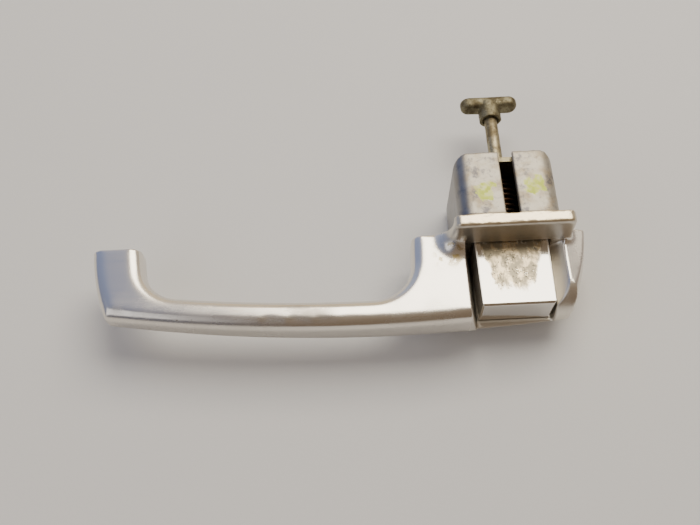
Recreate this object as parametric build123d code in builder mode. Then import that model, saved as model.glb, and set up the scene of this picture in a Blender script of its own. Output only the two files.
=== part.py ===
from build123d import *
from math import atan, cos, degrees, pi, sin
import os

os.makedirs("parts", exist_ok=True)

# Outside pull handle of a car door, with its push button and latch plunger.
# Frame: +X along the grip towards the button end, +Y through the door skin to the
# inside of the door, +Z up. The origin is on the plunger's axis, in the plane where
# the handle sits on the door skin. All sizes are in millimetres.

# ---------------------------------------------------------------- driving dimensions
FOOT_FRONT_X = -163.0        # front end of the foot, at the door skin
FOOT_BACK_X = -143.8         # finger side of the foot, at the door skin
FOOT_TIP_X = -156.2          # front end of the foot, at the outer face
FOOT_BULGE = (-160.9, -14.0) # point half way round the front end of the foot
FOOT_FINGER_X = -141.2       # where the foot meets the finger side of the grip
BOSS_FRONT_X = -38.5         # finger side of the button boss, at the door skin
TAIL_X = 29.7                # rear end of the boss, at the door skin
TAIL_TIP_X = 21.0            # rear end of the boss, at the outer face
TAIL_BULGE = (26.9, -15.0)   # point half way round the rear end of the boss
BOSS_FINGER_X = -39.8        # where the boss meets the finger side of the grip
GRIP_MIDDLE_X = -90.0
BODY_TOP = 6.5               # top of grip, foot and boss
BODY_BOTTOM = -14.0          # level from which the body is extruded
FRONT_BOTTOM = -6.4          # underside of the body at the front end
REAR_BOTTOM = -13.0          # underside of the body at the rear end
GRIP_BOW_Y = -36.6           # outermost point of the bowed outer face
GRIP_BOW_X = -55.0           # where that point is
GRIP_BOW_R = 603.0           # radius of the bow
GRIP_DEPTH = 11.2            # thickness of the grip, square to the door
FINGER_R = 15.0              # corners of the finger opening
BODY_ROUND = 4.6             # rounding along the body's edges
BODY_REACH = 50.0            # further out than any point of the body

FLANGE_HALF_W = 23.0
FLANGE_HALF_H = 20.8
FLANGE_T = 5.0
FLANGE_CORNER_R = 3.0
FLANGE_EDGE_R = 1.5
FRONT_BLEND_R = 8.0          # hollow blends from the flange down to the boss
REAR_BLEND_R = 3.0

SLEEVE_X = -1.5              # the sleeve sits a little forward of the plunger
SLEEVE_HALF_W = 19.3
SLEEVE_HALF_H = 20.5
SLEEVE_LENGTH = 27.4
SLEEVE_SIDE_WALL = 2.2
SLEEVE_TOP_WALL = 2.8
SLEEVE_CORNER_R = 6.0
SLEEVE_END_R = 5.0           # rounding of the side walls at the open end
SLOT_W = 5.3                 # the slot that splits the sleeve, top and bottom
SLOT_X = -0.6

POCKET_FRONT_X = -18.2       # front wall of the button's pocket, at the body's top
RIDGE_X = 20.0               # ridge of the ear behind the pocket
RIDGE_FOOT_Z = 1.0           # where the slope below the ridge meets the upright wall
EAR_SLOPE = 0.27             # fall of the ear's top towards the rear end
EAR_NOSE_R = 12.5            # the ear's top rolls over this far at its outer end
EAR_NOSE_Y = -32.5           # outermost point of that roll

BUTTON_HALF_W = 13.8         # at its outer face
BUTTON_TOP = 5.6
BUTTON_BOTTOM = -8.9
BUTTON_FACE_Y = -30.9
BUTTON_DRAFT = 0.6           # how much each side has grown by the inner end
BUTTON_WALL = 2.2
BUTTON_BEVEL = 0.7           # bevel round the outer face
BUTTON_GAP = 0.4             # clearance between the button and its opening
CORE_R = 8.8                 # core of the button, round the shaft
SHAFT_SEAT_Y = -16.0         # bottom of the shaft's hole in the button

LIP_T = 2.5                  # shoulder at the back of the button, inside the sleeve
LIP_HALF_W = 15.2
LIP_TOP = 9.8
LIP_BOTTOM = -13.1
SEAL_T = 0.8                 # rubber frame that the shoulder rests against
SEAL_MARGIN = 1.0            # how far the frame stands past the shoulder
STOP_GAP = 0.1

SHAFT_D = 5.4
SHAFT_FIT = 0.06             # radial running clearance in the retainer plate

PLATE_T = 2.0
PLATE_Y = 24.0               # outer face of the retainer plate
PLATE_GAP = 0.1
LEDGE = 0.8                  # step that the retainer plate sits on
STAKE_X = 10.0               # the corner nibs that hold the retainer plate
STAKE_W = 4.0
STAKE_RISE = 1.6

SPRING_WIRE = 1.2
SPRING_R = 6.6               # mean radius of the coil
SPRING_TURNS = 7.6
SPRING_END_GAP = 0.05
SEAT_T = 0.9
SEAT_R = 8.2

HEAD_LENGTH = 24.0           # cross bar of the plunger's T-shaped head
HEAD_WIDTH = 7.4
HEAD_T = 5.2
HEAD_Y = 62.2                # where the cross bar starts
HEAD_ROUND = 1.9
COLLAR_D = 9.2
COLLAR_LENGTH = 5.6
COLLAR_CUP = 1.2             # depth of the cup round the shaft at the collar's mouth
PIN_D = 2.0

SCREW_D = 5.1                # tapping size for a 1/4 inch mounting screw
SCREW_DEPTH = 12.0
FRONT_SCREW_X = -153.5
REAR_SCREW_X = -30.8
FOOT_CORE_W = 14.0           # recess cored into the face of the foot
FOOT_CORE_H = 7.6
FOOT_CORE_DEPTH = 5.0
FOOT_BOSS_D = 8.4

# ---------------------------------------------------------------- derived places
POCKET_FLOOR = BUTTON_BOTTOM - BUTTON_DRAFT - BUTTON_GAP
OPENING_TOP = BUTTON_TOP + BUTTON_DRAFT + BUTTON_GAP
OPENING_HALF_W = BUTTON_HALF_W + BUTTON_DRAFT + BUTTON_GAP
CAVITY_W = 2 * (SLEEVE_HALF_W - SLEEVE_SIDE_WALL)
CAVITY_H = 2 * (SLEEVE_HALF_H - SLEEVE_TOP_WALL)
LIP_Y = SEAL_T + STOP_GAP    # outer face of the button's shoulder
SEAT_Y = LIP_Y + LIP_T
SPRING_Y = SEAT_Y + SEAT_T
SPRING_LENGTH = PLATE_Y - SPRING_Y


def door_plane(y):
    """Plane parallel to the door skin at y; sketch x and y are the part's X and Z."""
    return Plane.XZ.offset(-y)


def outer_y(x):
    """Outer face of the bowed grip at x."""
    return GRIP_BOW_Y + (x - GRIP_BOW_X) ** 2 / (2 * GRIP_BOW_R)


def inner_y(x):
    """Finger side of the grip at x."""
    return outer_y(x) + GRIP_DEPTH


# ---------------------------------------------------------------- handle casting
# One die casting: foot, grip, button boss, flange and the split sleeve behind it.
foot_tip = (FOOT_TIP_X, outer_y(FOOT_TIP_X))
tail_tip = (TAIL_TIP_X, outer_y(TAIL_TIP_X))
foot_corner = (FOOT_FINGER_X, inner_y(FOOT_FINGER_X))
boss_corner = (BOSS_FINGER_X, inner_y(BOSS_FINGER_X))
grip_middle = (GRIP_MIDDLE_X, inner_y(GRIP_MIDDLE_X))

with BuildPart() as sleeve:
    with BuildSketch(door_plane(0)):
        with Locations((SLEEVE_X, 0)):
            RectangleRounded(2 * SLEEVE_HALF_W, 2 * SLEEVE_HALF_H, SLEEVE_CORNER_R)
    extrude(amount=-SLEEVE_LENGTH)
    # seen from above, the side walls curve in at the open end
    with BuildSketch(Plane.XY.offset(-SLEEVE_HALF_H)) as sleeve_plan:
        with Locations((SLEEVE_X, SLEEVE_LENGTH / 2)):
            Rectangle(2 * SLEEVE_HALF_W, SLEEVE_LENGTH)
        fillet(sleeve_plan.vertices().group_by(Axis.Y)[-1], SLEEVE_END_R)
    extrude(amount=2 * SLEEVE_HALF_H, mode=Mode.INTERSECT)

with BuildPart() as handle_casting:
    with BuildSketch(Plane.XY.offset(BODY_BOTTOM)) as plan:
        with BuildLine():
            ThreePointArc((FOOT_FRONT_X, 0), FOOT_BULGE, foot_tip)
            ThreePointArc(foot_tip, (GRIP_BOW_X, GRIP_BOW_Y), tail_tip)
            ThreePointArc(tail_tip, TAIL_BULGE, (TAIL_X, 0))
            Polyline((TAIL_X, 0), (BOSS_FRONT_X, 0), boss_corner)
            ThreePointArc(boss_corner, grip_middle, foot_corner)
            Polyline(foot_corner, (FOOT_BACK_X, 0), (FOOT_FRONT_X, 0))
        make_face()
        finger_corners = [
            plan.vertices().sort_by_distance((*corner, BODY_BOTTOM))[0]
            for corner in (foot_corner, boss_corner)
        ]
        fillet(finger_corners, FINGER_R)
    extrude(amount=BODY_TOP - BODY_BOTTOM)

    # side view: flat top, underside deeper towards the button
    with BuildSketch(door_plane(1)):
        Polygon(
            (FOOT_FRONT_X - 5, FRONT_BOTTOM),
            (FOOT_FRONT_X - 5, BODY_TOP),
            (TAIL_X + 5, BODY_TOP),
            (TAIL_X + 5, REAR_BOTTOM),
            align=None,
        )
    extrude(amount=BODY_REACH, mode=Mode.INTERSECT)

    # roundings along the top and underside, all but where the body meets the door
    rims = handle_casting.edges().filter_by(lambda e: abs(e.tangent_at(0.5).Z) < 0.3)
    fillet(rims.filter_by(lambda e: e.center().Y < -0.5), BODY_ROUND)

    # the ear behind the button falls away towards the rear end
    with BuildSketch(door_plane(1)):
        Polygon(
            (RIDGE_X, BODY_TOP),
            (RIDGE_X, BODY_TOP + 5),
            (TAIL_X + 5, BODY_TOP + 5),
            (TAIL_X + 5, BODY_TOP - EAR_SLOPE * (TAIL_X + 5 - RIDGE_X)),
            align=None,
        )
    extrude(amount=BODY_REACH, mode=Mode.SUBTRACT)

    # the ear's ridge rolls over towards the outer face
    nose_back_y = EAR_NOSE_Y + EAR_NOSE_R
    nose_low_z = BODY_TOP - EAR_NOSE_R
    nose_middle = (
        nose_back_y - EAR_NOSE_R * sin(pi / 4),
        nose_low_z + EAR_NOSE_R * cos(pi / 4),
    )
    with BuildSketch(Plane.YZ.offset(OPENING_HALF_W)):
        with BuildLine():
            ThreePointArc((nose_back_y, BODY_TOP), nose_middle, (EAR_NOSE_Y, nose_low_z))
            Polyline(
                (EAR_NOSE_Y, nose_low_z),
                (-BODY_REACH, nose_low_z),
                (-BODY_REACH, BODY_TOP + 5),
                (nose_back_y, BODY_TOP + 5),
                (nose_back_y, BODY_TOP),
            )
        make_face()
    extrude(amount=TAIL_X, mode=Mode.SUBTRACT)

    # flange: rounded outer edge, then hollow blends down to the boss
    with BuildSketch(door_plane(0)):
        RectangleRounded(2 * FLANGE_HALF_W, 2 * FLANGE_HALF_H, FLANGE_CORNER_R)
    extrude(amount=FLANGE_T)
    flange_rim = handle_casting.edges().filter_by(lambda e: abs(e.center().Y + FLANGE_T) < 0.01)
    fillet(flange_rim.filter_by(lambda e: not -14 < e.center().Z < 7), FLANGE_EDGE_R)
    roots = handle_casting.edges().filter_by(lambda e: -FLANGE_T - 0.1 < e.center().Y < -0.5)
    roots = roots.filter_by(lambda e: abs(e.center().Z - BODY_TOP) < 0.01)
    fillet(roots.filter_by(lambda e: -26 < e.center().X < 10), FRONT_BLEND_R)
    roots = handle_casting.edges().filter_by(lambda e: -FLANGE_T - 0.1 < e.center().Y < -0.5)
    roots = roots.filter_by(lambda e: 5 < e.center().Z < BODY_TOP - 0.05)
    fillet(roots.filter_by(lambda e: 20 < e.center().X < 23.5), REAR_BLEND_R)

    add(sleeve.part)

    # pocket for the button, open towards the top and the outside
    with BuildSketch(door_plane(-FLANGE_T)):
        Polygon(
            (-OPENING_HALF_W, POCKET_FLOOR),
            (OPENING_HALF_W, POCKET_FLOOR),
            (OPENING_HALF_W, RIDGE_FOOT_Z),
            (RIDGE_X, BODY_TOP),
            (RIDGE_X, 2 * FLANGE_HALF_H),
            (POCKET_FRONT_X, 2 * FLANGE_HALF_H),
            (POCKET_FRONT_X, BODY_TOP),
            align=None,
        )
    extrude(amount=BODY_REACH, mode=Mode.SUBTRACT)

    # opening in the flange, and the sleeve's cavity with its step for the retainer
    with BuildSketch(door_plane(0)):
        with Locations((0, (POCKET_FLOOR + OPENING_TOP) / 2)):
            Rectangle(2 * OPENING_HALF_W, OPENING_TOP - POCKET_FLOOR)
    extrude(amount=FLANGE_T, mode=Mode.SUBTRACT)
    with BuildSketch(door_plane(0)):
        with Locations((SLEEVE_X, 0)):
            Rectangle(CAVITY_W, CAVITY_H)
    extrude(amount=-SLEEVE_LENGTH, mode=Mode.SUBTRACT)
    with BuildSketch(door_plane(PLATE_Y)):
        with Locations((SLEEVE_X, 0)):
            Rectangle(CAVITY_W, CAVITY_H + 2 * LEDGE)
    extrude(amount=PLATE_Y - SLEEVE_LENGTH, mode=Mode.SUBTRACT)
    with BuildSketch(door_plane(0)):
        with Locations((SLOT_X, 0)):
            Rectangle(SLOT_W, 3 * SLEEVE_HALF_H)
    extrude(amount=-SLEEVE_LENGTH, mode=Mode.SUBTRACT)

    # nibs staked over the retainer plate
    with BuildSketch(door_plane(PLATE_Y + PLATE_T)):
        nib_z = CAVITY_H / 2 + LEDGE
        with Locations(*[(SLEEVE_X + i * STAKE_X, j * nib_z) for i in (-1, 1) for j in (-1, 1)]):
            Rectangle(STAKE_W, 2 * STAKE_RISE)
    extrude(amount=PLATE_Y + PLATE_T - SLEEVE_LENGTH)

    # door face of the foot cored out round its screw boss, and the two screw holes
    with BuildSketch(door_plane(0)):
        with Locations((FRONT_SCREW_X, 0)):
            RectangleRounded(FOOT_CORE_W, FOOT_CORE_H, 2.0)
            Circle(FOOT_BOSS_D / 2, mode=Mode.SUBTRACT)
    extrude(amount=FOOT_CORE_DEPTH, mode=Mode.SUBTRACT)
    with BuildSketch(door_plane(0)):
        with Locations((FRONT_SCREW_X, 0), (REAR_SCREW_X, 0)):
            Circle(SCREW_D / 2)
    extrude(amount=SCREW_DEPTH, mode=Mode.SUBTRACT)

# ---------------------------------------------------------------- push button
# A block that slides inboard through the flange; its shoulder stops it at rest.
button_depth = LIP_Y - BUTTON_FACE_Y
draft_angle = degrees(atan(BUTTON_DRAFT / button_depth))

with BuildPart() as push_button:
    with BuildSketch(door_plane(BUTTON_FACE_Y)):
        with Locations((0, (BUTTON_TOP + BUTTON_BOTTOM) / 2)):
            Rectangle(2 * BUTTON_HALF_W, BUTTON_TOP - BUTTON_BOTTOM)
    extrude(amount=-button_depth, taper=-draft_angle)
    chamfer(push_button.faces().sort_by(Axis.Y)[0].edges(), BUTTON_BEVEL)
    with BuildSketch(door_plane(LIP_Y)):
        with Locations((0, (LIP_TOP + LIP_BOTTOM) / 2)):
            Rectangle(2 * LIP_HALF_W, LIP_TOP - LIP_BOTTOM)
    extrude(amount=-LIP_T)
    # cored from the back on both sides of the shaft
    with BuildSketch(door_plane(SEAT_Y)):
        with Locations((0, (BUTTON_TOP + BUTTON_BOTTOM) / 2)):
            inside_h = BUTTON_TOP - BUTTON_BOTTOM - 2 * BUTTON_WALL
            Rectangle(2 * (BUTTON_HALF_W - BUTTON_WALL), inside_h)
        Circle(CORE_R, mode=Mode.SUBTRACT)
    extrude(amount=SEAT_Y - BUTTON_FACE_Y - BUTTON_WALL, mode=Mode.SUBTRACT)
    # hole for the shaft
    with BuildSketch(door_plane(SHAFT_SEAT_Y)):
        Circle(SHAFT_D / 2)
    extrude(amount=-(SEAT_Y - SHAFT_SEAT_Y), mode=Mode.SUBTRACT)

# ---------------------------------------------------------------- button seal
with BuildPart() as button_seal:
    with BuildSketch(door_plane(0)):
        cavity_right = SLEEVE_X + CAVITY_W / 2 - STOP_GAP
        seal_left = -(LIP_HALF_W + SEAL_MARGIN)
        seal_top = LIP_TOP + SEAL_MARGIN
        seal_bottom = LIP_BOTTOM - SEAL_MARGIN
        with Locations(((cavity_right + seal_left) / 2, (seal_top + seal_bottom) / 2)):
            Rectangle(cavity_right - seal_left, seal_top - seal_bottom)
        with Locations((0, (POCKET_FLOOR + OPENING_TOP) / 2)):
            Rectangle(2 * OPENING_HALF_W, OPENING_TOP - POCKET_FLOOR, mode=Mode.SUBTRACT)
    extrude(amount=-SEAL_T)

# ---------------------------------------------------------------- spring and its seats
with BuildPart() as spring_seat:
    with BuildSketch(door_plane(SEAT_Y)):
        Circle(SEAT_R)
        Circle(SHAFT_D / 2 + SHAFT_FIT, mode=Mode.SUBTRACT)
    extrude(amount=-SEAT_T)

coil_start = SPRING_Y + SPRING_WIRE / 2 + SPRING_END_GAP
coil_rise = SPRING_LENGTH - SPRING_WIRE - 2 * SPRING_END_GAP
with BuildPart() as return_spring:
    with BuildLine() as coil:
        Helix(
            pitch=coil_rise / SPRING_TURNS,
            height=coil_rise,
            radius=SPRING_R,
            center=(0, coil_start, 0),
            direction=(0, 1, 0),
        )
    with BuildSketch(Plane(origin=coil.line @ 0, z_dir=coil.line % 0)):
        Circle(SPRING_WIRE / 2)
    sweep(path=coil.line, is_frenet=True)

with BuildPart() as retainer_plate:
    with BuildSketch(door_plane(PLATE_Y)):
        with Locations((SLEEVE_X, 0)):
            Rectangle(CAVITY_W - 2 * PLATE_GAP, CAVITY_H + 2 * LEDGE - 2 * PLATE_GAP)
        Circle(SHAFT_D / 2 + SHAFT_FIT, mode=Mode.SUBTRACT)
    extrude(amount=-PLATE_T)

# ---------------------------------------------------------------- plunger
with BuildPart() as plunger_shaft:
    with BuildSketch(door_plane(SHAFT_SEAT_Y)):
        Circle(SHAFT_D / 2)
    extrude(amount=-(HEAD_Y + HEAD_T / 2 - SHAFT_SEAT_Y))
    with BuildSketch(Plane.YZ):
        with Locations((HEAD_Y - COLLAR_LENGTH / 2, 0)):
            Circle(PIN_D / 2)
    extrude(amount=COLLAR_D, both=True, mode=Mode.SUBTRACT)

with BuildPart() as plunger_head:
    with BuildSketch(door_plane(HEAD_Y)):
        SlotOverall(HEAD_LENGTH, HEAD_WIDTH)
    extrude(amount=-HEAD_T)
    fillet(plunger_head.edges().filter_by(lambda e: abs(e.tangent_at(0.5).Y) < 0.3), HEAD_ROUND)
    with BuildSketch(door_plane(HEAD_Y - COLLAR_LENGTH)):
        Circle(COLLAR_D / 2)
    extrude(amount=-(COLLAR_LENGTH + HEAD_T / 2))
    with BuildSketch(door_plane(HEAD_Y - COLLAR_LENGTH)):
        Circle(SHAFT_D / 2 + COLLAR_CUP / 2)
    extrude(amount=-COLLAR_CUP, mode=Mode.SUBTRACT)
    with BuildSketch(door_plane(HEAD_Y - COLLAR_LENGTH)):
        Circle(SHAFT_D / 2)
    extrude(amount=-(COLLAR_LENGTH + HEAD_T / 2), mode=Mode.SUBTRACT)
    with BuildSketch(Plane.YZ):
        with Locations((HEAD_Y - COLLAR_LENGTH / 2, 0)):
            Circle(PIN_D / 2)
    extrude(amount=COLLAR_D, both=True, mode=Mode.SUBTRACT)

with BuildPart() as head_pin:
    with BuildSketch(Plane.YZ):
        with Locations((HEAD_Y - COLLAR_LENGTH / 2, 0)):
            Circle(PIN_D / 2)
    extrude(amount=COLLAR_D / 2, both=True)

# ---------------------------------------------------------------- hand over
handle_casting.part.label = "handle_casting"
push_button.part.label = "push_button"
button_seal.part.label = "button_seal"
spring_seat.part.label = "spring_seat"
return_spring.part.label = "return_spring"
retainer_plate.part.label = "retainer_plate"
plunger_shaft.part.label = "plunger_shaft"
plunger_head.part.label = "plunger_head"
head_pin.part.label = "head_pin"

pieces = (
    handle_casting,
    push_button,
    button_seal,
    spring_seat,
    return_spring,
    retainer_plate,
    plunger_shaft,
    plunger_head,
    head_pin,
)
for piece in pieces:
    export_step(piece.part, f"parts/{piece.part.label}.step")
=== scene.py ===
import math

import bmesh
import bpy
import numpy as np
from mathutils import Matrix, Vector, noise


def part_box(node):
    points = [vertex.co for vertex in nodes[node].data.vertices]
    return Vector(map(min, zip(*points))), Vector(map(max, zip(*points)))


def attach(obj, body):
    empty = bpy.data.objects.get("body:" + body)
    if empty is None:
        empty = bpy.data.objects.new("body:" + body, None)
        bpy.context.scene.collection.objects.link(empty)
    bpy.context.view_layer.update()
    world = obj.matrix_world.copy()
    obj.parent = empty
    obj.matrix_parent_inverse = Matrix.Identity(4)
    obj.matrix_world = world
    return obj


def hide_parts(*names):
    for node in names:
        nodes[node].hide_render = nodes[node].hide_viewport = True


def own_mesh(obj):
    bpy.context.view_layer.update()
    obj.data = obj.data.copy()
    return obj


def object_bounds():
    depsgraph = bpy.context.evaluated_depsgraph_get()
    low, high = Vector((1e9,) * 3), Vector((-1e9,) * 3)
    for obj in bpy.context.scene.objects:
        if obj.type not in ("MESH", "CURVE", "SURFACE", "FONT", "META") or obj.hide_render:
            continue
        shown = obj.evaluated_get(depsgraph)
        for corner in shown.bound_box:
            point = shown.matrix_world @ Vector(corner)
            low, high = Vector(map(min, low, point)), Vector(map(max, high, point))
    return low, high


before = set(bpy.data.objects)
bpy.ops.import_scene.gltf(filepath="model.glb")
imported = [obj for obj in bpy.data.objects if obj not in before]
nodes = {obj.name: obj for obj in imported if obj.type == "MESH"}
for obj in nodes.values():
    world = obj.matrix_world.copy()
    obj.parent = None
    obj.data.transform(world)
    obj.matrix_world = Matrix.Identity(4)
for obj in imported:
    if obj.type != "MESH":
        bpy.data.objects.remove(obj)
cad_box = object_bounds()
MM = 0.001


# ---------------------------------------------------------------- mesh helpers
def mesh_piece(name, mesh):
    """A new object at the origin that shows a mesh."""
    piece = bpy.data.objects.new(name, mesh)
    bpy.context.scene.collection.objects.link(piece)
    return piece


def smooth_shaded(piece):
    for face in piece.data.polygons:
        face.use_smooth = True
    return piece


def baked(piece):
    """The piece with its modifiers applied."""
    bpy.context.view_layer.update()
    graph = bpy.context.evaluated_depsgraph_get()
    mesh = bpy.data.meshes.new_from_object(piece.evaluated_get(graph))
    piece.modifiers.clear()
    piece.data = mesh
    return piece


def welded_copy(node, name):
    """A copy of a CAD node's mesh, its faces joined along their edges."""
    mesh = bpy.data.meshes.new(name)
    shape = bmesh.new()
    shape.from_mesh(nodes[node].data)
    bmesh.ops.remove_doubles(shape, verts=shape.verts, dist=1e-6)
    shape.to_mesh(mesh)
    shape.free()
    mesh.materials.clear()
    return mesh_piece(name, mesh)


def cast_copy(node, name, voxel, relax):
    """A fine, evenly meshed copy of a CAD node with its edges softened, as on a casting."""
    piece = welded_copy(node, name)
    remesh = piece.modifiers.new("remesh", "REMESH")
    remesh.mode = "VOXEL"
    remesh.voxel_size = voxel
    smooth = piece.modifiers.new("relax", "SMOOTH")
    smooth.factor = 0.5
    smooth.iterations = relax
    return smooth_shaded(baked(piece))


def polished(piece, passes, share):
    """Smooths the piece further by share, from 0 to 1, a function of a point in millimetres."""
    group = piece.vertex_groups.new(name="polish")
    places = np.empty(len(piece.data.vertices) * 3)
    piece.data.vertices.foreach_get("co", places)
    steps = 4
    levels = [[] for _ in range(steps + 1)]
    for i, place in enumerate(places.reshape(-1, 3) / MM):
        levels[round(share(*place) * steps)].append(i)
    for level, members in enumerate(levels):
        if level and members:
            group.add(members, level / steps, "REPLACE")
    smooth = piece.modifiers.new("polish", "SMOOTH")
    smooth.vertex_group = group.name
    smooth.factor = 0.5
    smooth.iterations = passes
    return smooth_shaded(baked(piece))


def ramp_between(value, start, end):
    """0 at start and 1 at end, straight between them and level outside."""
    return min(1.0, max(0.0, (value - start) / (end - start)))


def roughened(piece, depth, size, where=lambda x, y, z: True):
    """Moves the chosen points in and out by noise; depth and size are in millimetres."""
    count = len(piece.data.vertices)
    places, normals = np.empty(count * 3), np.empty(count * 3)
    piece.data.vertices.foreach_get("co", places)
    piece.data.vertices.foreach_get("normal", normals)
    places, normals = places.reshape(-1, 3), normals.reshape(-1, 3)
    for i, place in enumerate(places / MM):
        if where(*place):
            places[i] += normals[i] * depth * MM * noise.fractal(Vector(place / size), 1, 2, 3)
    piece.data.vertices.foreach_set("co", places.ravel())
    piece.data.update()


def bevelled_copy(node, name, width, segments=3):
    """A copy of a flat-faced CAD node with narrow rounded edges."""
    piece = welded_copy(node, name)
    shape = bmesh.new()
    shape.from_mesh(piece.data)
    limit = math.radians(0.5)
    bmesh.ops.dissolve_limit(shape, angle_limit=limit, verts=shape.verts, edges=shape.edges)
    shape.to_mesh(piece.data)
    shape.free()
    smooth_shaded(piece)
    bevel = piece.modifiers.new("bevel", "BEVEL")
    bevel.width = width
    bevel.segments = segments
    bevel.limit_method = "ANGLE"
    bevel.angle_limit = math.radians(25)
    # the large flat faces keep their own normals, and only the bevels turn
    weighted = piece.modifiers.new("weighted", "WEIGHTED_NORMAL")
    weighted.mode = "FACE_AREA"
    weighted.weight = 100
    return baked(piece)


def turned(name, profile, axis="Y", centre=(0, 0, 0), sides=72):
    """A lathe-turned piece: profile is (distance along the axis, radius) from end to end."""
    shape = bmesh.new()
    rings = []
    for along, radius in profile:
        ring = []
        for i in range(sides):
            angle = 2 * math.pi * i / sides
            across = (radius * math.cos(angle), radius * math.sin(angle))
            if axis == "Y":
                ring.append(shape.verts.new((across[0], along, across[1])))
            else:
                ring.append(shape.verts.new((along, across[0], across[1])))
        rings.append(ring)
    for low, high in zip(rings, rings[1:]):
        for i in range(sides):
            j = (i + 1) % sides
            shape.faces.new((low[i], low[j], high[j], high[i]))
    shape.faces.new(rings[0])
    shape.faces.new(rings[-1])
    bmesh.ops.recalc_face_normals(shape, faces=shape.faces)
    bmesh.ops.translate(shape, verts=shape.verts, vec=Vector(centre))
    mesh = bpy.data.meshes.new(name)
    shape.to_mesh(mesh)
    shape.free()
    piece = smooth_shaded(mesh_piece(name, mesh))
    piece.data.set_sharp_from_angle(angle=math.radians(35))
    return piece


# ---------------------------------------------------------------- material helpers
class Paint:
    """One procedural material. Its coordinates are the piece's own, in millimetres."""

    def __init__(self, name):
        self.material = bpy.data.materials.new(name)
        self.material.use_nodes = True
        self.tree = self.material.node_tree
        self.shader = self.tree.nodes["Principled BSDF"]
        place = self.tree.nodes.new("ShaderNodeTexCoord").outputs["Object"]
        self.mm = self.vector("SCALE", place, scale=1 / MM)
        split = self.tree.nodes.new("ShaderNodeSeparateXYZ")
        self.tree.links.new(self.mm, split.inputs[0])
        self.x, self.y, self.z = split.outputs

    def feed(self, socket, value):
        if isinstance(value, bpy.types.NodeSocket):
            self.tree.links.new(value, socket)
        elif value is not None:
            socket.default_value = value

    def vector(self, operation, a, b=None, scale=None):
        node = self.tree.nodes.new("ShaderNodeVectorMath")
        node.operation = operation
        self.feed(node.inputs[0], a)
        self.feed(node.inputs[1], b)
        if scale is not None:
            self.feed(node.inputs["Scale"], scale)
        return node.outputs["Value" if operation in ("LENGTH", "DOT_PRODUCT") else "Vector"]

    def math(self, operation, a, b=None, c=None):
        node = self.tree.nodes.new("ShaderNodeMath")
        node.operation = operation
        for socket, value in zip(node.inputs, (a, b, c)):
            self.feed(socket, value)
        return node.outputs[0]

    def fade(self, value, start, end):
        """0 before start and 1 past end, changing smoothly between them."""
        node = self.tree.nodes.new("ShaderNodeMapRange")
        node.interpolation_type = "SMOOTHSTEP"
        self.feed(node.inputs["Value"], value)
        self.feed(node.inputs["From Min"], start)
        self.feed(node.inputs["From Max"], end)
        return node.outputs[0]

    def both(self, *masks):
        result = masks[0]
        for mask in masks[1:]:
            result = self.math("MULTIPLY", result, mask)
        return result

    def either(self, *masks):
        result = masks[0]
        for mask in masks[1:]:
            result = self.math("MAXIMUM", result, mask)
        return result

    def band(self, value, low, high, soft):
        """1 between low and high, 0 outside."""
        return self.both(
            self.fade(value, low - soft, low + soft), self.fade(value, high + soft, high - soft)
        )

    def noise(self, size, detail=3.0, roughness=0.5, stretch=(1, 1, 1), distortion=0.0, shift=0.0):
        """Noise whose blotches are about size millimetres across."""
        place = self.vector("MULTIPLY", self.mm, [1 / s for s in stretch])
        if shift:
            place = self.vector("ADD", place, (shift, shift, shift))
        node = self.tree.nodes.new("ShaderNodeTexNoise")
        self.feed(node.inputs["Vector"], place)
        self.feed(node.inputs["Scale"], 1 / size)
        self.feed(node.inputs["Detail"], detail)
        self.feed(node.inputs["Roughness"], roughness)
        self.feed(node.inputs["Distortion"], distortion)
        return node.outputs[0]

    def pits(self, size, depth_share=0.35, shift=0.0):
        """1 in the middle of scattered round pits, 0 between them."""
        place = self.vector("ADD", self.mm, (shift, shift, shift))
        node = self.tree.nodes.new("ShaderNodeTexVoronoi")
        self.feed(node.inputs["Vector"], place)
        self.feed(node.inputs["Scale"], 1 / size)
        return self.fade(node.outputs["Distance"], depth_share, depth_share * 0.4)

    def mix(self, share, a, b):
        node = self.tree.nodes.new("ShaderNodeMix")
        node.data_type = "RGBA"
        self.feed(node.inputs[0], share)
        for socket, colour in ((node.inputs[6], a), (node.inputs[7], b)):
            self.feed(socket, colour if isinstance(colour, bpy.types.NodeSocket) else (*colour, 1))
        return node.outputs[2]

    def blend(self, share, a, b):
        """The number between a and b."""
        node = self.tree.nodes.new("ShaderNodeMix")
        self.feed(node.inputs[0], share)
        self.feed(node.inputs[2], a)
        self.feed(node.inputs[3], b)
        return node.outputs[0]

    def smear(self, centre, radius):
        """A ragged spot of paint in the XY plane."""
        flat = self.vector("MULTIPLY", self.mm, (1, 1, 0))
        distance = self.vector("LENGTH", self.vector("SUBTRACT", flat, (*centre, 0)))
        blotches = self.math("SUBTRACT", self.noise(5, 4, 0.6, shift=60), 0.5)
        ragged = self.math("MULTIPLY", blotches, 11)
        distance = self.math("ADD", distance, ragged)
        return self.fade(distance, radius + 0.5, radius - 0.5)

    def relief(self, height, distance, strength=1.0, under=None):
        """A bump of that height in millimetres."""
        node = self.tree.nodes.new("ShaderNodeBump")
        self.feed(node.inputs["Height"], height)
        self.feed(node.inputs["Distance"], distance * MM)
        self.feed(node.inputs["Strength"], strength)
        if under is not None:
            self.feed(node.inputs["Normal"], under)
        return node.outputs[0]

    def finish(self, colour, roughness, normal=None, metallic=1.0):
        self.feed(self.shader.inputs["Base Color"], colour)
        self.feed(self.shader.inputs["Roughness"], roughness)
        self.feed(self.shader.inputs["Metallic"], metallic)
        self.feed(self.shader.inputs["Normal"], normal)
        return self.material


def scratches(paint, length, width, shift):
    """Fine polishing marks that run along X."""
    return paint.noise(width, 2, 0.6, stretch=(length / width, 1, 1), shift=shift)


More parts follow.
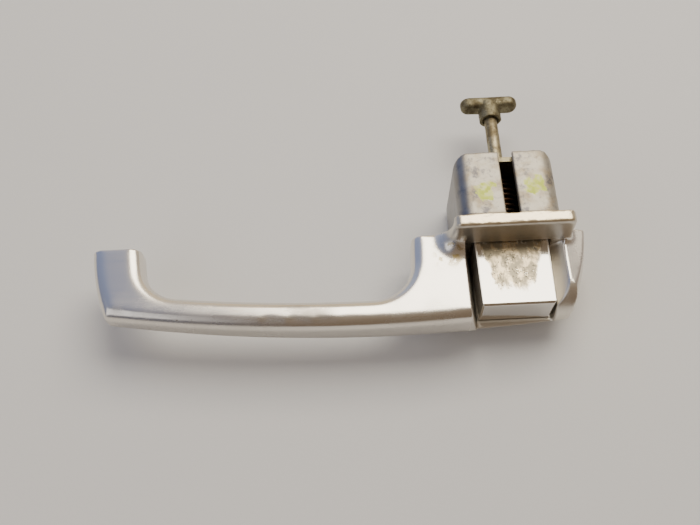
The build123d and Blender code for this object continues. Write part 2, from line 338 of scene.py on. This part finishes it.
# ---------------------------------------------------------------- materials
CHROME = (0.81, 0.77, 0.70)
DULL_CHROME = (0.46, 0.43, 0.38)
ZINC = (0.46, 0.43, 0.365)
TAN_STAIN = (0.40, 0.335, 0.235)
MARKER_YELLOW = (0.62, 0.72, 0.06)
# near-black: dirt in pits, and painted shade in the casting's hollow corners
GRIME_AND_SHADE = (0.07, 0.055, 0.04)

# places on the casting, in millimetres in the CAD's frame
BODY_TOP_Z = 6.5
FLANGE_FRONT_Y = -5.0
FLANGE_RIM_Z = 20.0
POCKET_FRONT_X, POCKET_REAR_X = -18.3, 19.4
SLEEVE_LEFT_X = -17.0
SMEARS = (((-10.0, 10.0), 3.4), ((9.0, 11.5), 4.0))  # centre and radius of each

# meshing of the cast pieces
CASTING_VOXEL = 0.42 * MM
HEAD_VOXEL = 0.24 * MM
RELAX_PASSES = 6
POLISH_PASSES = 160


def casting_paint():
    """Worn chrome outside, dull plate on the flange, bare stained zinc on the sleeve."""
    p = Paint("cast_chrome")
    cloud = p.noise(9, 4, 0.55)
    fine = p.noise(1.2, 4, 0.6, shift=40)
    # chrome: faint haze and polishing marks
    haze = p.fade(p.noise(22, 3, 0.5, shift=11), 0.42, 0.72)
    marks = scratches(p, 40, 0.35, 7)
    chrome_rough = p.math("ADD", p.blend(haze, 0.17, 0.26), p.math("MULTIPLY", marks, 0.10))
    chrome = p.mix(haze, CHROME, (0.75, 0.71, 0.64))
    # plate dulled along the middle of the grip
    grip = p.both(
        p.band(p.x, -97, -71, 5), p.band(p.y, -33.5, -27.5, 1.5), p.fade(p.z, 4, 6)
    )
    grip = p.both(grip, p.fade(p.noise(7, 4, 0.6, stretch=(2.5, 1, 1)), 0.40, 0.60))
    chrome = p.mix(grip, chrome, DULL_CHROME)
    chrome_rough = p.blend(grip, chrome_rough, 0.33)
    # rough spots on the boss forward of the button, a few pits, and a tan stain
    rough_spots = p.both(
        p.band(p.x, -31, -20, 4),
        p.band(p.y, -32, -21, 3),
        p.both(p.fade(p.z, 2, 4), p.fade(p.noise(1.6, 3), 0.5, 0.66)),
    )
    pit_mask = p.both(p.pits(4.5, 0.09, 3), p.fade(p.noise(14, 2, shift=5), 0.56, 0.64))
    stained = p.both(
        p.band(p.x, -29, -19, 3),
        p.band(p.y, -13, -5, 3),
        p.fade(p.z, 2, 4),
        p.fade(p.noise(2.6, 4, 0.6, shift=33), 0.48, 0.60),
    )
    chrome = p.mix(stained, chrome, (0.42, 0.33, 0.16))
    chrome_rough = p.blend(stained, chrome_rough, 0.4)
    # flange: dull plate
    flange = p.both(
        p.fade(p.y, FLANGE_FRONT_Y - 0.6, FLANGE_FRONT_Y - 0.1),
        p.fade(p.z, BODY_TOP_Z, BODY_TOP_Z + 2.5),
        p.fade(p.y, 0.2, -0.1),
    )
    flange_streaks = p.noise(3, 4, 0.6, stretch=(1, 1, 4))
    flange_colour = p.mix(flange_streaks, (0.60, 0.56, 0.48), (0.76, 0.72, 0.64))
    # flange rim: rough, brassy
    top_rim = p.fade(p.z, FLANGE_RIM_Z - 0.4, FLANGE_RIM_Z + 0.4)
    bottom_rim = p.fade(p.z, 0.4 - FLANGE_RIM_Z, -0.4 - FLANGE_RIM_Z)
    rim = p.both(p.band(p.y, -4.6, 0.1, 0.4), p.either(top_rim, bottom_rim))
    rim_colour = p.mix(cloud, (0.80, 0.68, 0.44), (0.70, 0.62, 0.48))
    # sleeve: bare zinc
    sleeve = p.fade(p.y, -0.05, 0.15)
    stain = p.fade(p.noise(8, 5, 0.62, shift=21), 0.42, 0.68)
    zinc = p.mix(stain, ZINC, TAN_STAIN)
    zinc = p.mix(p.fade(p.noise(5, 5, 0.7, shift=52), 0.52, 0.68), zinc, (0.20, 0.19, 0.19))
    zinc = p.mix(p.fade(fine, 0.55, 0.8), zinc, (0.24, 0.22, 0.20))
    left_side = p.both(sleeve, p.fade(p.x, SLEEVE_LEFT_X + 1.5, SLEEVE_LEFT_X - 1.5))
    zinc = p.mix(p.math("MULTIPLY", left_side, 0.7), zinc, (0.20, 0.205, 0.225))
    # pocket: dull plate that the buffing wheel never reached
    pocket = p.both(
        p.band(p.x, POCKET_FRONT_X, POCKET_REAR_X, 0.15),
        p.fade(p.y, FLANGE_FRONT_Y + 0.1, FLANGE_FRONT_Y - 0.1),
        p.fade(p.z, BODY_TOP_Z - 0.3, BODY_TOP_Z - 0.6),
    )
    pocket_colour = p.mix(p.noise(4, 4, 0.6, shift=44), (0.70, 0.66, 0.58), (0.80, 0.77, 0.70))
    chrome = p.mix(pocket, chrome, pocket_colour)
    chrome_rough = p.blend(pocket, chrome_rough, 0.36)

    colour = p.mix(flange, chrome, flange_colour)
    colour = p.mix(rim, colour, rim_colour)
    colour = p.mix(sleeve, colour, zinc)
    roughness = p.blend(flange, chrome_rough, 0.34)
    roughness = p.blend(rim, roughness, 0.30)
    roughness = p.blend(sleeve, roughness, p.blend(left_side, p.blend(stain, 0.52, 0.62), 0.38))
    # painted shade with some grime: the hollow corners, found by pointiness, are darkened to
    # near-black, less of it inside the pocket
    pointed = p.tree.nodes.new("ShaderNodeNewGeometry").outputs["Pointiness"]
    hollow = p.both(p.fade(pointed, 0.475, 0.42), p.fade(p.noise(4, 4, 0.6, shift=30), 0.36, 0.62))
    hollow = p.math("MULTIPLY", hollow, p.blend(pocket, 1.0, 0.35))
    colour = p.mix(hollow, colour, GRIME_AND_SHADE)
    roughness = p.blend(hollow, roughness, 0.6)
    colour = p.mix(pit_mask, colour, (0.20, 0.17, 0.12))
    # a plain smear of paint marker on each half of the sleeve, with no shape to read
    top = p.both(sleeve, p.fade(p.z, 19.5, 20.2))
    dabs = p.both(top, p.either(*(p.smear(centre, radius) for centre, radius in SMEARS)))
    thin = p.fade(p.noise(2.6, 4, 0.65, shift=71), 0.36, 0.60)
    dabs = p.both(dabs, p.blend(thin, 0.25, 1.0))
    colour = p.mix(dabs, colour, MARKER_YELLOW)
    metallic = p.math("SUBTRACT", 1.0, dabs)
    roughness = p.blend(dabs, roughness, 0.5)

    height = p.math("MULTIPLY", fine, p.blend(sleeve, 0.010, 0.10))
    height = p.math("ADD", height, p.math("MULTIPLY", marks, p.blend(sleeve, 0.008, 0.0)))
    height = p.math("ADD", height, p.math("MULTIPLY", p.noise(2.2, 4, 0.6), p.both(rim, 0.5)))
    height = p.math("ADD", height, p.math("MULTIPLY", rough_spots, 0.05))
    height = p.math("SUBTRACT", height, p.math("MULTIPLY", pit_mask, 0.08))
    return p.finish(colour, roughness, p.relief(height, 0.35), metallic)


def button_paint():
    """Polished chrome; on top, a tan patch where the plate has corroded, with bright pits."""
    p = Paint("button_chrome")
    edge = p.math("MULTIPLY", p.math("SUBTRACT", p.noise(5, 5, 0.65, stretch=(1, 2, 1)), 0.5), 14)
    across = p.math("ABSOLUTE", p.math("ADD", p.x, p.math("MULTIPLY", edge, 0.5)))
    along = p.math("ADD", p.y, edge)
    narrowing = p.math("MULTIPLY", p.math("ADD", along, 5.0), 0.28)
    patch = p.both(
        p.fade(p.math("SUBTRACT", across, narrowing), 12.6, 11.0),
        p.fade(along, -25, -21),
        p.fade(p.z, 5.0, 5.4),
    )
    inner = p.both(patch, p.fade(p.noise(3.4, 4, 0.6, stretch=(1, 1.8, 1), shift=8), 0.40, 0.54))
    flecks = p.both(patch, p.fade(p.noise(1.7, 5, 0.7, shift=19, distortion=1.2), 0.58, 0.64))
    marks = scratches(p, 25, 0.3, 9)
    colour = p.mix(p.noise(12, 3), CHROME, (0.76, 0.74, 0.70))
    colour = p.mix(patch, colour, (0.60, 0.50, 0.33))
    colour = p.mix(inner, colour, (0.30, 0.265, 0.19))
    colour = p.mix(flecks, colour, (0.92, 0.86, 0.68))
    roughness = p.math("ADD", 0.08, p.math("MULTIPLY", marks, 0.08))
    # the sides never met the thumb or the buffing wheel
    side = p.fade(p.math("ABSOLUTE", p.x), 13.4, 13.7)
    colour = p.mix(side, colour, (0.78, 0.75, 0.69))
    roughness = p.blend(side, roughness, 0.42)
    roughness = p.blend(patch, roughness, 0.30)
    roughness = p.blend(inner, roughness, 0.42)
    roughness = p.blend(flecks, roughness, 0.15)
    height = p.math("MULTIPLY", marks, 0.01)
    height = p.math("ADD", height, p.math("MULTIPLY", flecks, 0.25))
    height = p.math("SUBTRACT", height, p.math("MULTIPLY", inner, 0.06))
    return p.finish(colour, roughness, p.relief(height, 0.4))


def tarnished_paint(name, clean, dirty, size, roughness, bump):
    """Yellow-zinc plated steel that has gone dull, with dirt and small pits."""
    p = Paint(name)
    cloud = p.fade(p.noise(size, 5, 0.65), 0.36, 0.66)
    grit = p.noise(size * 0.12, 3, 0.6, shift=15)
    pit_mask = p.pits(size * 0.35, 0.22, 6)
    colour = p.mix(cloud, clean, dirty)
    colour = p.mix(p.fade(grit, 0.52, 0.75), colour, [c * 0.55 for c in dirty])
    colour = p.mix(p.math("MULTIPLY", pit_mask, 0.6), colour, GRIME_AND_SHADE)
    rough = p.blend(cloud, roughness, roughness + 0.22)
    height = p.math("SUBTRACT", grit, p.math("MULTIPLY", pit_mask, 0.6))
    return p.finish(colour, rough, p.relief(height, bump))


def rubber_paint():
    p = Paint("seal_rubber")
    speckle = p.noise(0.8, 4, 0.7)
    colour = p.mix(p.fade(p.noise(5, 3), 0.4, 0.7), (0.02, 0.02, 0.02), (0.055, 0.05, 0.045))
    return p.finish(colour, p.blend(speckle, 0.6, 0.85), p.relief(speckle, 0.08), 0.0)


def floor_paint():
    p = Paint("floor_pale")
    grain = p.noise(1.6, 4, 0.6)
    colour = p.mix(p.noise(90, 3), (0.70, 0.70, 0.69), (0.73, 0.725, 0.71))
    return p.finish(colour, 0.85, p.relief(grain, 0.05), 0.0)


# ---------------------------------------------------------------- pieces
def cast_handle():
    piece = cast_copy("handle_casting", "handle_shell", CASTING_VOXEL, RELAX_PASSES)

    def buffed(x, y, z):
        """The grip and the foot were buffed smooth, and most of all the hollow by the flange."""
        off_pocket = ramp_between(x, -19.5, -22.5)
        off_door = ramp_between(y, 0.2, -1.2)
        hollow = ramp_between(x, -44.0, -40.0) * ramp_between(y, -16.0, -12.0)
        return off_pocket * off_door * ramp_between(abs(z), 19.0, 17.0) * (0.25 + 0.75 * hollow)

    piece = polished(piece, POLISH_PASSES, buffed)

    def on_rim(x, y, z):
        """The flange's rim, away from the body that grows out of it."""
        beside_body = abs(x) > 22.4 and not -14 < z < 8
        return -4.5 < y < 0 and abs(x) < 23.5 and (abs(z) > 20.2 or beside_body)

    # the mould left the flange's rim and the sleeve's end rough
    roughened(piece, 0.11, 1.7, on_rim)
    roughened(piece, 0.12, 2, lambda x, y, z: y > 26.5)
    piece.data.materials.append(casting_paint())
    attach(piece, "handle")
    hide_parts("handle_casting")


def button():
    piece = bevelled_copy("push_button", "button_block", 0.35 * MM)
    piece.data.materials.append(button_paint())
    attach(piece, "button")
    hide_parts("push_button")


def shaft():
    low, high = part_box("plunger_shaft")
    radius = (high.x - low.x) / 2
    chamfer = 0.4 * MM
    profile = [
        (low.y, radius - chamfer),
        (low.y + chamfer, radius),
        (high.y - chamfer, radius),
        (high.y, radius - chamfer),
    ]
    piece = turned("plunger_rod", profile)
    piece.data.materials.append(
        tarnished_paint("plated_steel", (0.42, 0.37, 0.24), (0.22, 0.175, 0.10), 5, 0.40, 0.12)
    )
    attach(piece, "button")
    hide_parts("plunger_shaft")


def head():
    piece = cast_copy("plunger_head", "plunger_tee", HEAD_VOXEL, RELAX_PASSES)
    roughened(piece, 0.10, 4)
    piece.data.materials.append(
        tarnished_paint("head_steel", (0.26, 0.235, 0.15), (0.13, 0.105, 0.06), 4, 0.48, 0.16)
    )
    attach(piece, "button")
    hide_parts("plunger_head")


def cross_pin():
    low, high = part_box("head_pin")
    radius = (high.z - low.z) / 2
    chamfer = 0.25 * MM
    profile = [
        (low.x, radius - chamfer),
        (low.x + chamfer, radius),
        (high.x - chamfer, radius),
        (high.x, radius - chamfer),
    ]
    piece = turned("head_cross_pin", profile, "X", (0, (low.y + high.y) / 2, 0), 40)
    piece.data.materials.append(
        tarnished_paint("pin_steel", (0.34, 0.32, 0.28), (0.16, 0.12, 0.08), 2, 0.4, 0.05)
    )
    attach(piece, "button")
    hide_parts("head_pin")


def spring():
    """Open coil with one closed turn at each end."""
    low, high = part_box("return_spring")
    wire = 0.6 * MM  # the wire's radius
    radius = (high.x - low.x) / 2 - wire
    start, end = low.y + wire, high.y - wire
    turns, closed, steps = 8.6, 0.9, 48
    count = int(turns * steps)
    curve = bpy.data.curves.new("coil", "CURVE")
    curve.dimensions = "3D"
    curve.bevel_depth = wire
    curve.bevel_resolution = 4
    curve.use_fill_caps = True
    line = curve.splines.new("POLY")
    line.points.add(count)
    pitch = wire * 2.02  # the closed turns lie side by side
    rise = (end - start - 2 * closed * pitch) / (turns - 2 * closed)
    for i, point in enumerate(line.points):
        turn = i / steps
        angle = 2 * math.pi * turn
        lead = min(turn, closed)
        tail = max(0.0, turn - (turns - closed))
        middle = turn - lead - tail
        y = start + (lead + tail) * pitch + middle * rise
        point.co = (radius * math.cos(angle), y, radius * math.sin(angle), 1)
    source = mesh_piece("coil_curve", curve)
    bpy.context.view_layer.update()
    graph = bpy.context.evaluated_depsgraph_get()
    mesh = bpy.data.meshes.new_from_object(source.evaluated_get(graph))
    bpy.data.objects.remove(source)
    piece = smooth_shaded(mesh_piece("return_coil", mesh))
    piece.data.materials.clear()
    piece.data.materials.append(
        tarnished_paint("spring_steel", (0.20, 0.15, 0.11), (0.16, 0.07, 0.03), 3, 0.35, 0.06)
    )
    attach(piece, "handle")
    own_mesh(piece)
    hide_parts("return_spring")


def repaint(node, material):
    nodes[node].data.materials.clear()
    nodes[node].data.materials.append(material)


def small_parts():
    """CAD nodes that keep their own shape."""
    repaint("button_seal", rubber_paint())
    repaint(
        "spring_seat",
        tarnished_paint("seat_steel", (0.32, 0.28, 0.19), (0.17, 0.13, 0.08), 5, 0.40, 0.08),
    )
    repaint(
        "retainer_plate",
        tarnished_paint("plate_steel", (0.28, 0.25, 0.16), (0.18, 0.145, 0.085), 9, 0.42, 0.10),
    )


# ---------------------------------------------------------------- stage, light, camera
def stage():
    bpy.ops.mesh.primitive_plane_add(size=4, location=(0, 0, cad_box[0][2] - 0.0002))
    floor = bpy.context.object
    floor.name = "floor"
    floor.data.materials.append(floor_paint())


def panel(name, towards, distance, width, height, watts, colour):
    """A soft light, its width along the grip, in that direction from the grip's middle."""
    middle = Vector((-0.06, 0.0, 0.0))
    light = bpy.data.lights.new(name, "AREA")
    light.shape = "RECTANGLE"
    light.size = width
    light.size_y = height
    light.energy = watts
    light.color = colour
    lamp = bpy.data.objects.new(name, light)
    bpy.context.scene.collection.objects.link(lamp)
    direction = Vector(towards).normalized()
    lamp.location = middle + direction * distance
    up = direction.cross(Vector((1, 0, 0))).normalized()
    across = up.cross(direction)
    lamp.rotation_euler = Matrix((across, up, direction)).transposed().to_euler()


ROOM_STOPS = (  # colour of the room from the outside of the door to the inside
    (0.0, (0.20, 0.17, 0.14, 1)),
    (0.45, (0.30, 0.27, 0.24, 1)),
    (0.72, (0.44, 0.45, 0.50, 1)),
    (1.0, (0.95, 0.88, 0.74, 1)),
)
COOL_TINT = (0.62, 0.74, 1.12, 1)
WARM_TINT = (1.0, 0.87, 0.73, 1)


def studio():
    """Soft light all round, brightest on the door's inside, cool beyond the foot, else warm."""
    world = bpy.data.worlds.new("studio")
    bpy.context.scene.world = world
    world.use_nodes = True
    tree = world.node_tree
    background = tree.nodes["Background"]
    place = tree.nodes.new("ShaderNodeTexCoord").outputs["Generated"]
    split = tree.nodes.new("ShaderNodeSeparateXYZ")
    tree.links.new(place, split.inputs[0])

    ramp = tree.nodes.new("ShaderNodeValToRGB")
    stops = ramp.color_ramp.elements
    stops[0].position, stops[0].color = ROOM_STOPS[0]
    stops[1].position, stops[1].color = ROOM_STOPS[-1]
    for position, colour in ROOM_STOPS[1:-1]:
        stops.new(position).color = colour
    shift = tree.nodes.new("ShaderNodeMapRange")
    shift.inputs["From Min"].default_value = -1
    tree.links.new(split.outputs[1], shift.inputs["Value"])
    tree.links.new(shift.outputs[0], ramp.inputs[0])

    side = tree.nodes.new("ShaderNodeMapRange")
    side.interpolation_type = "SMOOTHSTEP"
    side.inputs["From Min"].default_value = -0.30
    side.inputs["From Max"].default_value = -0.14
    tree.links.new(split.outputs[0], side.inputs["Value"])

    def mixed(share, first, second, blend_type="MIX"):
        """The mix of two colours; each input is a number, a colour or a socket."""
        node = tree.nodes.new("ShaderNodeMix")
        node.data_type = "RGBA"
        node.blend_type = blend_type
        for index, value in ((0, share), (6, first), (7, second)):
            if isinstance(value, bpy.types.NodeSocket):
                tree.links.new(value, node.inputs[index])
            else:
                node.inputs[index].default_value = value
        return node.outputs[2]

    tint = mixed(side.outputs[0], COOL_TINT, WARM_TINT)
    room = mixed(1.0, ramp.outputs[0], tint, "MULTIPLY")
    tree.links.new(room, background.inputs["Color"])
    background.inputs["Strength"].default_value = 1.0
    panel("key", (0.26, 0.44, 0.86), 0.9, 0.76, 0.6, 8.6, (1.0, 0.93, 0.80))
    panel("fill", (-0.7, -0.4, 0.6), 1.0, 0.8, 0.8, 2.2, (1.0, 0.97, 0.95))


def camera():
    """The viewing angle: from outside the door and well above, a little to the front."""
    pitch, yaw, roll = math.radians(63.6), math.radians(-0.15), math.radians(-2.9)
    eye = Vector((-62.26, -150.16, 287.63)) * MM
    forward = Vector(
        (math.sin(yaw) * math.cos(pitch), math.cos(yaw) * math.cos(pitch), -math.sin(pitch))
    )
    right = Vector((math.cos(yaw), -math.sin(yaw), 0))
    up = right.cross(forward)
    tilted_right = right * math.cos(roll) + up * math.sin(roll)
    tilted_up = up * math.cos(roll) - right * math.sin(roll)
    lens = bpy.data.cameras.new("camera")
    lens.sensor_width = 36
    lens.lens = 42.17
    lens.clip_start = 0.01
    eye_piece = bpy.data.objects.new("camera", lens)
    bpy.context.scene.collection.objects.link(eye_piece)
    turn = Matrix((tilted_right, tilted_up, -forward)).transposed()
    eye_piece.matrix_world = Matrix.Translation(eye) @ turn.to_4x4()
    bpy.context.scene.camera = eye_piece


cast_handle()
button()
shaft()
head()
cross_pin()
spring()
small_parts()
stage()
studio()
camera()
